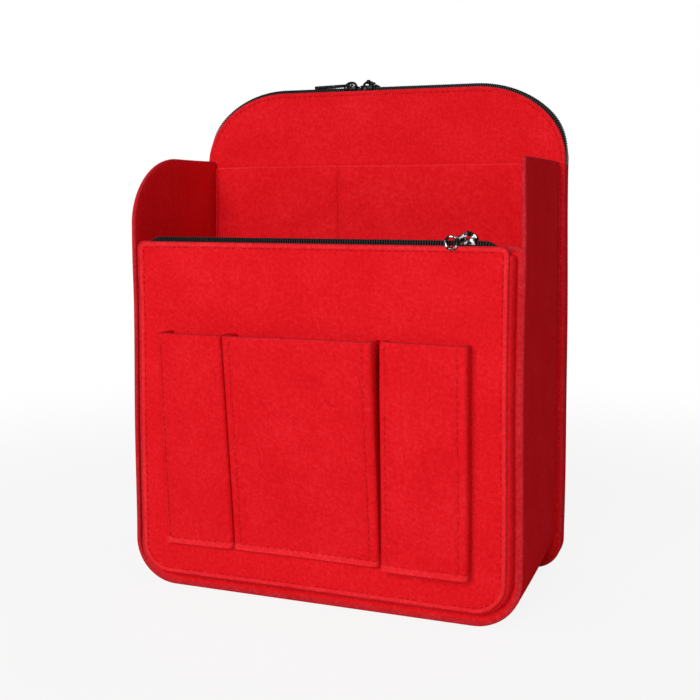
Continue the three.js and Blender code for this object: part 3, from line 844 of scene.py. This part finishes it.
# The slip panel's rounded edge gets the brighter felt, a painted highlight.
grid_sheet(thicken(slip, round_tone=HIGHLIGHT_TONE), low, high)
enter_edit()
for line, reach in ((corner_low.x, PRESS_REACH), (DIVIDER, DIVIDER_REACH), (corner_high.x, PRESS_REACH)):
    for shift in (-reach, -reach / 2, -SEAM_HALF, 0, SEAM_HALF, reach / 2, reach):
        cut_at(0, line + shift)
for shift in (SEAM_HALF, PRESS_REACH / 2, PRESS_REACH):
    cut_at(2, corner_low.z + shift)
leave_edit()


def pressed(place):
    edge = min(place.x - corner_low.x, corner_high.x - place.x, place.z - corner_low.z)
    at_edge = press * (1 - smooth((edge - SEAM_HALF) / (PRESS_REACH - SEAM_HALF)))
    at_divider = DIVIDER_PRESS * (1 - smooth(abs(place.x - DIVIDER) / DIVIDER_REACH))
    return place + Vector((0, max(at_edge, at_divider), 0))


for corner in slip.data.vertices:
    corner.co = pressed(corner.co)
row = sew([(DIVIDER, face + DIVIDER_PRESS - FELT / 2 + STITCH_SINK, z) for z in (low[1], high[1] - ROW_END)])
row.name = "inner_slip_panel_stitches"
rib_depth = press - DIVIDER_PRESS
rib_high = (rib_depth, high[1] - ROW_END)
rib = cut_sheet("slip_divider_felt", (0, low[1]), rib_high, slip_rounds)
grid_sheet(thicken(rib), (0, low[1]), rib_high)
rib.rotation_euler.z = math.pi / 2
rib.location = (DIVIDER, corner_high.y - rib_depth, 0)
settle(rib)
dress(rib, "inner_slip_panel")
dress(slip, "inner_slip_panel", row)
print("slip panel pressed back", round(1000 * press, 1), "mm at its seams")

# %% [markdown]
# ## The zips
# A zip is two woven tapes, each with a row of moulded teeth, and the rows lock into each other. One tooth
# is a small bevelled block. The same Array and Curve modifiers that laid the stitches lay the teeth, half a
# pitch apart in the two rows. The front zip's ends dive down behind the felt. The tall sleeve's zip runs
# over the top and round both corners, and its ends tuck in.

# %% Helpers that make tapes and rows of teeth
TOOTH_PITCH = 1.6 * MM
TOOTH_LONG = 1.15 * MM
TOOTH_REACH = 0.45 * MM
TOOTH_BEVEL = 0.25 * MM
DIVE_RUN = 11 * MM
DIVE_DEPTH = 4.5 * MM
DIVE_POINTS = 6
ZIP_TUCK = 3.2 * MM
TUCK_RISE = 34 * MM
TAPE_STEP = 4 * MM
TAPE_DROP = 12 * MM


def teeth_row(node, low, high, route, start):
    """One tooth from low to high across the row, repeated along a route in the plane that is folded up."""
    start_clean()
    size = Vector((TOOTH_LONG, high[0] - low[0], high[1] - low[1]))
    place = Vector((start + TOOTH_LONG / 2, (low[0] + high[0]) / 2, (low[1] + high[1]) / 2))
    bpy.ops.mesh.primitive_cube_add(size=1, location=place, scale=size)
    row = bpy.context.object
    row.name = node + "_row"
    settle(row)
    enter_edit()
    bpy.ops.mesh.select_all(action="SELECT")
    bpy.ops.mesh.bevel(offset=TOOTH_BEVEL, segments=1, affect="EDGES")
    leave_edit()
    repeat_along(row, line_through(route, twist="Z_UP"), TOOTH_PITCH)
    row.rotation_euler.x = math.pi / 2
    settle(row)
    declare(row, "organizer", node, zip_teeth)


def tape(node, route, drop, thick, depth):
    start_clean()
    length = sum((Vector(b) - Vector(a)).length for a, b in zip(route, route[1:]))
    bpy.ops.mesh.primitive_plane_add(size=1, location=(length / 2, -drop / 2, -depth))
    strip = bpy.context.object
    strip.name = node + "_twill"
    strip.scale = (length, drop, 1)
    settle(strip)
    enter_edit()
    grid(0, 0, length, TAPE_STEP)
    leave_edit()
    give_thickness(fold_up(strip, route), thick)
    apply_modifiers(strip)
    declare(strip, "organizer", node, zip_tape)


def closed_zip(front, rear, route, foot, top, drop):
    """Both rows of teeth, from foot to top above the route, and both tapes, which hang down by drop."""
    front_low, front_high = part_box(front.format("teeth"))
    rear_low, rear_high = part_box(rear.format("teeth"))
    middle = (front_high.y + rear_low.y) / 2
    teeth_row(front.format("teeth"), (foot, -middle - TOOTH_REACH), (top, -front_low.y), route, 0)
    teeth_row(rear.format("teeth"), (foot, -rear_high.y), (top, -middle + TOOTH_REACH), route,
              TOOTH_PITCH / 2)
    for node in (front.format("tape"), rear.format("tape")):
        low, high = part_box(node)
        tape(node, route, drop, high.y - low.y, (low.y + high.y) / 2)


# %% Make the front zip
corner_low, corner_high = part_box("front_zip_teeth_outer")
tape_low, tape_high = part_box("front_zip_tape_outer")
front_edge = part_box("front_zip_panel")[1].z
dive_steps = [i / DIVE_POINTS for i in range(DIVE_POINTS + 1)]
dive = [(DIVE_RUN * share, front_edge - DIVE_DEPTH * (1 - smooth(share))) for share in dive_steps]
front_route = [(corner_low.x + FRONT_LEFT + run, height, 0) for run, height in dive]
front_route += [(corner_high.x - run, height, 0) for run, height in reversed(dive)]
teeth_foot = corner_low.z - front_edge
closed_zip("front_zip_{}_outer", "front_zip_{}_inner", front_route, teeth_foot,
           corner_high.z - front_edge, tape_high.z - tape_low.z)
print("front zip:", round((front_route[-1][0] - front_route[0][0]) / TOOTH_PITCH), "teeth a row")

# %% Make the sleeve zip
sleeve_low, sleeve_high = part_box("sleeve_front_panel")
zip_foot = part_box("sleeve_zip_tape_front")[0].z


def arch_route():
    """From the left foot of the zip over the top to its right foot, drawn in at both feet."""
    right, left = SLEEVE_ROUNDS[2], SLEEVE_ROUNDS[3]
    points = [(sleeve_low.x, zip_foot, 0)]
    for centre, (wide, tall), start in ((sleeve_low.x + left[0], left, math.pi),
                                        (sleeve_high.x - right[0], right, math.pi / 2)):
        for i in range(2 * ARC_TURNS + 1):
            angle = start - math.pi / 4 * i / ARC_TURNS
            points.append((centre + wide * math.cos(angle), sleeve_high.z - tall + tall * math.sin(angle), 0))
    points.append((sleeve_high.x, zip_foot, 0))
    return [(x - math.copysign(ZIP_TUCK * (1 - smooth((z - zip_foot) / TUCK_RISE)), x), z, y)
            for x, z, y in points]


sleeve_route = arch_route()
teeth_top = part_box("sleeve_zip_teeth_front")[1].z - sleeve_high.z
closed_zip("sleeve_zip_{}_front", "sleeve_zip_{}_rear", sleeve_route, teeth_foot, teeth_top, TAPE_DROP)
print("sleeve zip runs through", len(sleeve_route), "points")

# %% [markdown]
# ## Sliders and pulls
# A die-cast slider straddles the closed teeth: a roof with two flanges, and on top an arched bail that
# holds the pull and ends in a sloping nose. Roof, flanges and nose are boxes with bevelled edges, and the
# bail is half a torus. The front pull is a round ring on a short link that hangs to one side. The sleeve's
# pulls are long tabs, one lying along the zip and one hanging down behind it.

# %% Helpers that make metal pieces
METAL_ROUND = 0.3 * MM
METAL_ANGLE = 40
METAL_SHADE_ANGLE = 50
SLIDER_WALL = 1.0 * MM
SLIDER_ROUND = 2.4 * MM
FLANGE_LONG = 9 * MM
BAIL_HALF = 0.6 * MM
BAIL_WIRE = 1.0 * MM
NOSE_START = 1.2 * MM
NOSE_HALF = 0.8 * MM
SHORT_NOSE = 5.2 * MM
LONG_NOSE = 9 * MM
BAIL_RISE = 2.8 * MM
BAIL_REACH = 3.6 * MM
BAIL_STRETCH = 1.25
PULL_THICK = 1.2 * MM
EYE_MIDDLE = 1.35 * MM
EYE_HALF = 0.3 * MM
EYE_BROAD = 4.0
ARM_HALF = 0.8 * MM


def soften(piece):
    round_edges(piece, METAL_ROUND, 2, METAL_ANGLE)
    apply_modifiers(piece)
    bpy.ops.object.shade_smooth_by_angle(angle=math.radians(METAL_SHADE_ANGLE))
    return piece


def metal_block(low, high, corner):
    start_clean()
    low, high = Vector(low), Vector(high)
    bpy.ops.mesh.primitive_cube_add(size=1, location=(low + high) / 2, scale=high - low)
    piece = bpy.context.object
    settle(piece)
    enter_edit()
    for x in (low.x, high.x):
        for y in (low.y, high.y):
            pick(piece, lambda co: near(co.x, x) and near(co.y, y))
            bpy.ops.mesh.bevel(offset=corner, segments=5, affect="EDGES")
    leave_edit()
    return soften(piece)


def metal_ring(place, turn, reach, half, flat=1.0):
    start_clean()
    bpy.ops.mesh.primitive_torus_add(major_radius=reach, minor_radius=half, major_segments=28,
                                     minor_segments=8)
    piece = bpy.context.object
    piece.scale.z = flat
    piece.rotation_euler = turn
    piece.location = place
    settle(piece)
    bpy.ops.object.shade_smooth()
    return piece


def finish_metal(node, body, pieces):
    # The front pieces get many painted glints and the sleeve's pieces few.
    metal = many_glints_metal if node.startswith("front") else few_glints_metal
    declare(join(node + "_cast", pieces), body, node, metal)


# %% Make the three sliders
def bail_bar(slider_node):
    """The middle of the bar that a pull turns on."""
    low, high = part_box(slider_node)
    return Vector(((low.x + high.x) / 2, (low.y + high.y) / 2, high.z - BAIL_HALF))


def make_slider(node, body, long_side, nose_reach):
    low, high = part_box(node)
    bar = bail_bar(node)
    roof = bar.z - BAIL_RISE
    pieces = [metal_block((low.x, low.y, roof - SLIDER_WALL), (high.x, high.y, roof), SLIDER_ROUND)]
    for side in (low.y, high.y - SLIDER_WALL):
        flange_low = (bar.x - FLANGE_LONG / 2, side, low.z)
        flange_high = (bar.x + FLANGE_LONG / 2, side + SLIDER_WALL, roof - SLIDER_WALL / 2)
        pieces.append(metal_block(flange_low, flange_high, METAL_ROUND))
    bail = metal_ring((0, 0, 0), (math.pi / 2, 0, 0), BAIL_REACH, BAIL_WIRE)
    enter_edit()
    bpy.ops.mesh.select_all(action="SELECT")
    bpy.ops.mesh.bisect(plane_co=(0, 0, 0), plane_no=(0, 0, 1), clear_inner=True, use_fill=True)
    bpy.ops.mesh.select_all(action="SELECT")
    bpy.ops.transform.resize(value=(1, 1, (BAIL_RISE + METAL_ROUND) / BAIL_REACH), center_override=(0, 0, 0))
    pick(bail, lambda co: co.x * long_side > BAIL_HALF)
    bpy.ops.transform.resize(value=(BAIL_STRETCH, 1, 1), center_override=(0, 0, 0))
    bpy.ops.mesh.select_all(action="SELECT")
    bpy.ops.transform.translate(value=(bar.x, bar.y, roof - METAL_ROUND))
    leave_edit()
    ends = sorted((bar.x + long_side * NOSE_START, bar.x + long_side * nose_reach))
    nose = metal_block((ends[0], bar.y - NOSE_HALF, roof - SLIDER_WALL),
                       (ends[1], bar.y + NOSE_HALF, bar.z + BAIL_HALF), METAL_ROUND)
    enter_edit()
    pick(nose, lambda co: (co.x - bar.x) * long_side > BAIL_REACH and co.z > bar.z)
    bpy.ops.transform.translate(value=(0, 0, roof - bar.z - SLIDER_WALL))
    leave_edit()
    finish_metal(node, body, pieces + [bail, nose])
    print(node, "is", round(1000 * (high.x - low.x), 1), "mm long")


make_slider("front_zip_slider", "front_slider", 1, SHORT_NOSE)
make_slider("sleeve_zip_slider_left", "sleeve_slider_left", -1, SHORT_NOSE)
make_slider("sleeve_zip_slider_right", "sleeve_slider_right", 1, LONG_NOSE)

# %% Make the front ring pull
RING_HALF = 4.5 * MM
RING_RIM = 1.8 * MM
RING_REACH = 15 * MM
LINK_HALF = 1.3 * MM
RING_SLANT = math.pi / 3


def eye_and_arm(bar, plane):
    eye = metal_ring(bar, (0, math.pi / 2, 0), EYE_MIDDLE, EYE_HALF, EYE_BROAD)
    start = bar.y + math.copysign(EYE_MIDDLE, plane - bar.y)
    arm = metal_block((bar.x - ARM_HALF, min(start, plane), bar.z - PULL_THICK / 2),
                      (bar.x + ARM_HALF, max(start, plane), bar.z + PULL_THICK / 2), METAL_ROUND)
    return [eye, arm]


bar = bail_bar("front_zip_slider")
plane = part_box("front_zip_pull")[0].y + PULL_THICK / 2
ring_middle = (0, 0, RING_HALF - RING_REACH)
loop = metal_ring(ring_middle, (math.pi / 2, 0, 0), RING_HALF - RING_RIM / 2, RING_RIM / 2,
                  PULL_THICK / RING_RIM)
link = metal_block((-LINK_HALF, -PULL_THICK / 2, RING_HALF * 2 - RING_REACH - RING_RIM / 2),
                   (LINK_HALF, PULL_THICK / 2, LINK_HALF), METAL_ROUND)
hanging = join("front_zip_pull_cast", [loop, link])
hanging.rotation_euler.y = RING_SLANT
hanging.location = (bar.x, plane, bar.z)
settle(hanging)
finish_metal("front_zip_pull", "front_pull", [hanging] + eye_and_arm(bar, plane))
print("ring pull", round(2000 * RING_HALF), "mm across")

# %% Make the sleeve's tab pulls
TAB_HALF = 2.5 * MM
TAB_LONG = 29 * MM
TAB_ROUND = (2.3 * MM, 2.3 * MM)
TAB_CORNER = (0.6 * MM, 0.6 * MM)
END_BAR = 1.3 * MM
SLOT_HALF = 1.2 * MM
SLOT_LONG = 6 * MM
GRIP_SWELL = 0.6 * MM
TAB_THICK = 1.7 * MM
TAB_DROP = 0.8 * MM
TAB_SINK = 1.1 * MM
END_HOLE = (3 * MM, 7 * MM)
FRAME_END = 2 * MM


def stamped_tab(name, low, high, rounds, holes, thick):
    tab = cut_sheet(name, low, high, rounds)
    make_active(tab)
    enter_edit()
    for hole_low, hole_high in holes:
        for axis, line in ((0, hole_low[0]), (0, hole_high[0]), (2, hole_low[1]), (2, hole_high[1])):
            cut_at(axis, line)
        pick(tab, lambda co: hole_low[0] - SAME_PLACE < co.x < hole_high[0] + SAME_PLACE
             and hole_low[1] - SAME_PLACE < co.z < hole_high[1] + SAME_PLACE)
        bpy.ops.mesh.delete(type="FACE")
    leave_edit()
    give_thickness(tab, thick)
    return soften(tab)


bar = bail_bar("sleeve_zip_slider_left")
hinge = bar - Vector((0, 0, BAIL_HALF + TAB_SINK))
tab = stamped_tab("sleeve_zip_pull_left_cast", (-TAB_LONG, -TAB_HALF), (END_BAR / 2, TAB_HALF),
                  [TAB_ROUND, TAB_CORNER, TAB_CORNER, TAB_ROUND],
                  [((-SLOT_LONG, -SLOT_HALF), (-END_BAR / 2, SLOT_HALF)),
                   ((END_HOLE[0] - TAB_LONG, -SLOT_HALF), (END_HOLE[1] - TAB_LONG, SLOT_HALF))], TAB_THICK)
tab.rotation_euler.x = math.pi / 2
settle(tab)
enter_edit()
pick(tab, lambda co: co.z < 0 and co.x < -SLOT_LONG - END_BAR)
bpy.ops.transform.translate(value=(0, 0, -GRIP_SWELL))
leave_edit()
tab.rotation_euler.y = -math.asin(TAB_DROP / TAB_LONG)
tab.location = hinge - Vector((0, 0, (TAB_THICK - PULL_THICK) / 2))
settle(tab)
finish_metal("sleeve_zip_pull_left", "sleeve_pull_left", [tab])

bar = bail_bar("sleeve_zip_slider_right")
tab_low, tab_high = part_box("sleeve_zip_pull_right")
plane = tab_high.y - PULL_THICK / 2
top = bar.z + PULL_THICK / 2
tab = stamped_tab("sleeve_zip_pull_right_cast", (tab_low.x, top - TAB_LONG), (tab_high.x, top),
                  [TAB_ROUND, TAB_ROUND, TAB_CORNER, TAB_CORNER],
                  [((tab_low.x + END_BAR, top - TAB_LONG + FRAME_END),
                    (tab_high.x - END_BAR, top - END_BAR))], PULL_THICK)
tab.location.y = plane
settle(tab)
finish_metal("sleeve_zip_pull_right", "sleeve_pull_right", [tab] + eye_and_arm(bar, plane))
print("tab pulls", round(1000 * TAB_LONG), "mm long")

# %% [markdown]
# ## Hand-made unevenness
# Felt that was cut and sewn by hand is never quite flat. One slow noise moves every sheet and its stitches
# by the same small amount, so seams stay together. It fades out at the ground and along the zips, so that
# the base stays flat and the sliders stay on their teeth. The noise starts from the clock unless it is
# given a seed, so it gets one, and the felt sways in the same way on every run.

# %% Let the felt sway a little
SWAY = 1.3 * MM
SWAY_WAVE = 110 * MM
SWAY_HOLD = 45 * MM
SWAY_BLEND = 30 * MM
SWAY_SEED = 11
front_zip_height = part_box("front_zip_panel")[1].z
front_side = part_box("main_front_panel")[1].y
back_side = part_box("sleeve_front_panel")[0].y


def sway(place):
    hold = smooth(place.z / SWAY_HOLD)
    in_front = 1 - smooth((place.y - front_side) / SWAY_BLEND)
    behind = 1 - smooth((back_side - place.y) / SWAY_BLEND)
    hold *= 1 - in_front * (1 - smooth(abs(front_zip_height - place.z) / SWAY_HOLD))
    hold *= 1 - behind * (1 - smooth((sleeve_high.z - place.z) / SWAY_HOLD))
    return place + noise.noise_vector(place / SWAY_WAVE) * SWAY * hold


noise.seed_set(SWAY_SEED)
for piece in felt_pieces + thread_pieces:
    for corner in piece.data.vertices:
        corner.co = sway(corner.co)
print("swayed", len(felt_pieces), "sheets and", len(thread_pieces), "sets of stitches")

# %% [markdown]
# ## Finish
# The script ends in object mode with nothing selected.

# %% Finish
start_clean()
